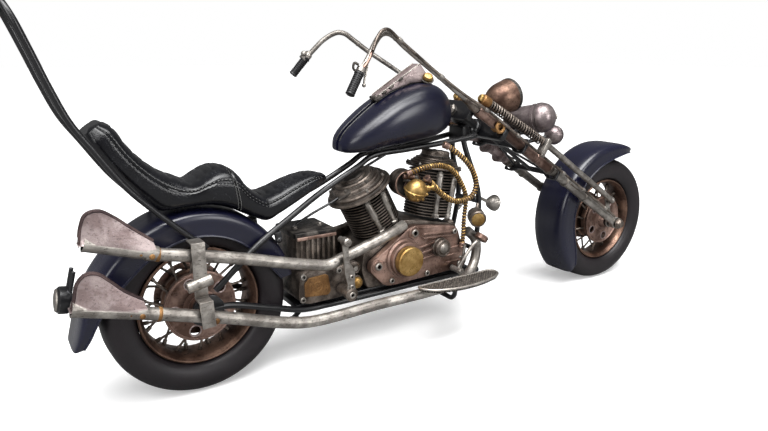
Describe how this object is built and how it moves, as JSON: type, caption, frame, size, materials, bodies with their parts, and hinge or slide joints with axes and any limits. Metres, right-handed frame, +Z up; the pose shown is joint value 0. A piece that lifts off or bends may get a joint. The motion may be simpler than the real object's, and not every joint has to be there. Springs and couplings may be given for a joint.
{
  "type": "model motorcycle",
  "caption": "Metal display model of a long-fork chopper with fat tyres, V-twin engine, stepped king seat, tall sissy bar and fishtail exhausts; it rolls, steers and stands.",
  "frame": {"origin": "on the ground under the centre of the bounding box, on the mid-plane between the foot boards", "axes": "+X forward, towards the front wheel, the longest way; +Y to the rider's left; +Z up"},
  "size_m": [0.3836, 0.0888, 0.1733],
  "materials": {
    "black_paint": "satin black paint over steel, worn to grey on the edges",
    "navy_paint": "satin navy paint with faint brushing and rubbed edges",
    "tyre_rubber": "smooth matte brown-black tyre",
    "grip_rubber": "ribbed black grip",
    "seat_leather": "glossy black tufted seat skin with dry-brushed silver edges",
    "copper_bronze": "aged copper and bronze wash, darker in the recesses",
    "aged_brass": "aged brass, matt with dark spots",
    "aged_silver": "silver wash over dark iron, scratched and stained",
    "dark_pewter": "dark pewter wash with bright rubbed edges"
  },
  "bodies": {
    "chassis": {"neck_and_downtubes": "black_paint", "upper_rail_right": "black_paint", "upper_rail_left": "black_paint", "lower_rail_right": "black_paint", "lower_rail_left": "black_paint", "engine_plate": "black_paint", "rear_axle": "aged_silver", "rear_fender": "navy_paint", "seat": "seat_leather", "tank_right": "navy_paint", "tank_left": "navy_paint", "tank_console": "aged_silver", "crankcase": "dark_pewter", "cam_cover": "copper_bronze", "cover_disc": "aged_brass", "primary_cover": "dark_pewter", "rear_cylinder": "dark_pewter", "front_cylinder": "dark_pewter", "rear_head": "dark_pewter", "front_head": "dark_pewter", "air_cleaner": "aged_brass", "gearbox": "dark_pewter", "battery_box": "dark_pewter", "kick_lever": "aged_silver", "horn": "aged_brass", "oil_hose": "aged_brass", "breather_hose": "aged_brass", "upper_exhaust": "aged_silver", "lower_exhaust": "aged_silver", "upper_fishtail": "aged_silver", "lower_fishtail": "aged_silver", "exhaust_strap": "aged_silver", "foot_board_right": "dark_pewter", "foot_board_left": "dark_pewter", "brake_pedal": "aged_silver", "sissy_bar": "black_paint", "tail_lamp": "black_paint", "side_lamp": "aged_silver"},
    "fork": {"fork_trees": "black_paint", "fork_leg_right": "copper_bronze", "fork_leg_left": "copper_bronze", "spring_strut_right": "aged_silver", "spring_strut_left": "aged_silver", "front_axle": "aged_silver", "handlebar_right": "aged_silver", "handlebar_left": "aged_silver", "grip_right": "grip_rubber", "grip_left": "grip_rubber", "headlight": "copper_bronze", "spot_canister": "dark_pewter", "ball_lamp": "dark_pewter", "front_fender": "navy_paint", "brake_cable": "aged_silver"},
    "front_wheel": {"front_tyre": "tyre_rubber", "front_rim": "copper_bronze", "front_hub": "copper_bronze"},
    "rear_wheel": {"rear_tyre": "tyre_rubber", "rear_rim": "copper_bronze", "rear_hub": "copper_bronze"},
    "side_stand": {"side_stand": "black_paint"}
  },
  "joints": [
    {"name": "steering", "type": "hinge", "parent": "chassis", "child": "fork", "pos_m": [0.0308, 0, 0.11511], "axis": [-0.8406, 0, 0.5417], "range_deg": [-24, 24]},
    {"name": "front_wheel_spin", "type": "hinge", "parent": "fork", "child": "front_wheel", "pos_m": [0.14997, 0, 0.0418], "axis": [0, 1, 0], "continuous": true},
    {"name": "rear_wheel_spin", "type": "hinge", "parent": "chassis", "child": "rear_wheel", "pos_m": [-0.12858, 0, 0.0418], "axis": [0, 1, 0], "continuous": true},
    {"name": "side_stand_fold", "type": "hinge", "parent": "chassis", "child": "side_stand", "pos_m": [-0.05408, 0.0182, 0.0272], "axis": [0.0814, 0.7892, 0.6087], "range_deg": [0, 75]}
  ]
}
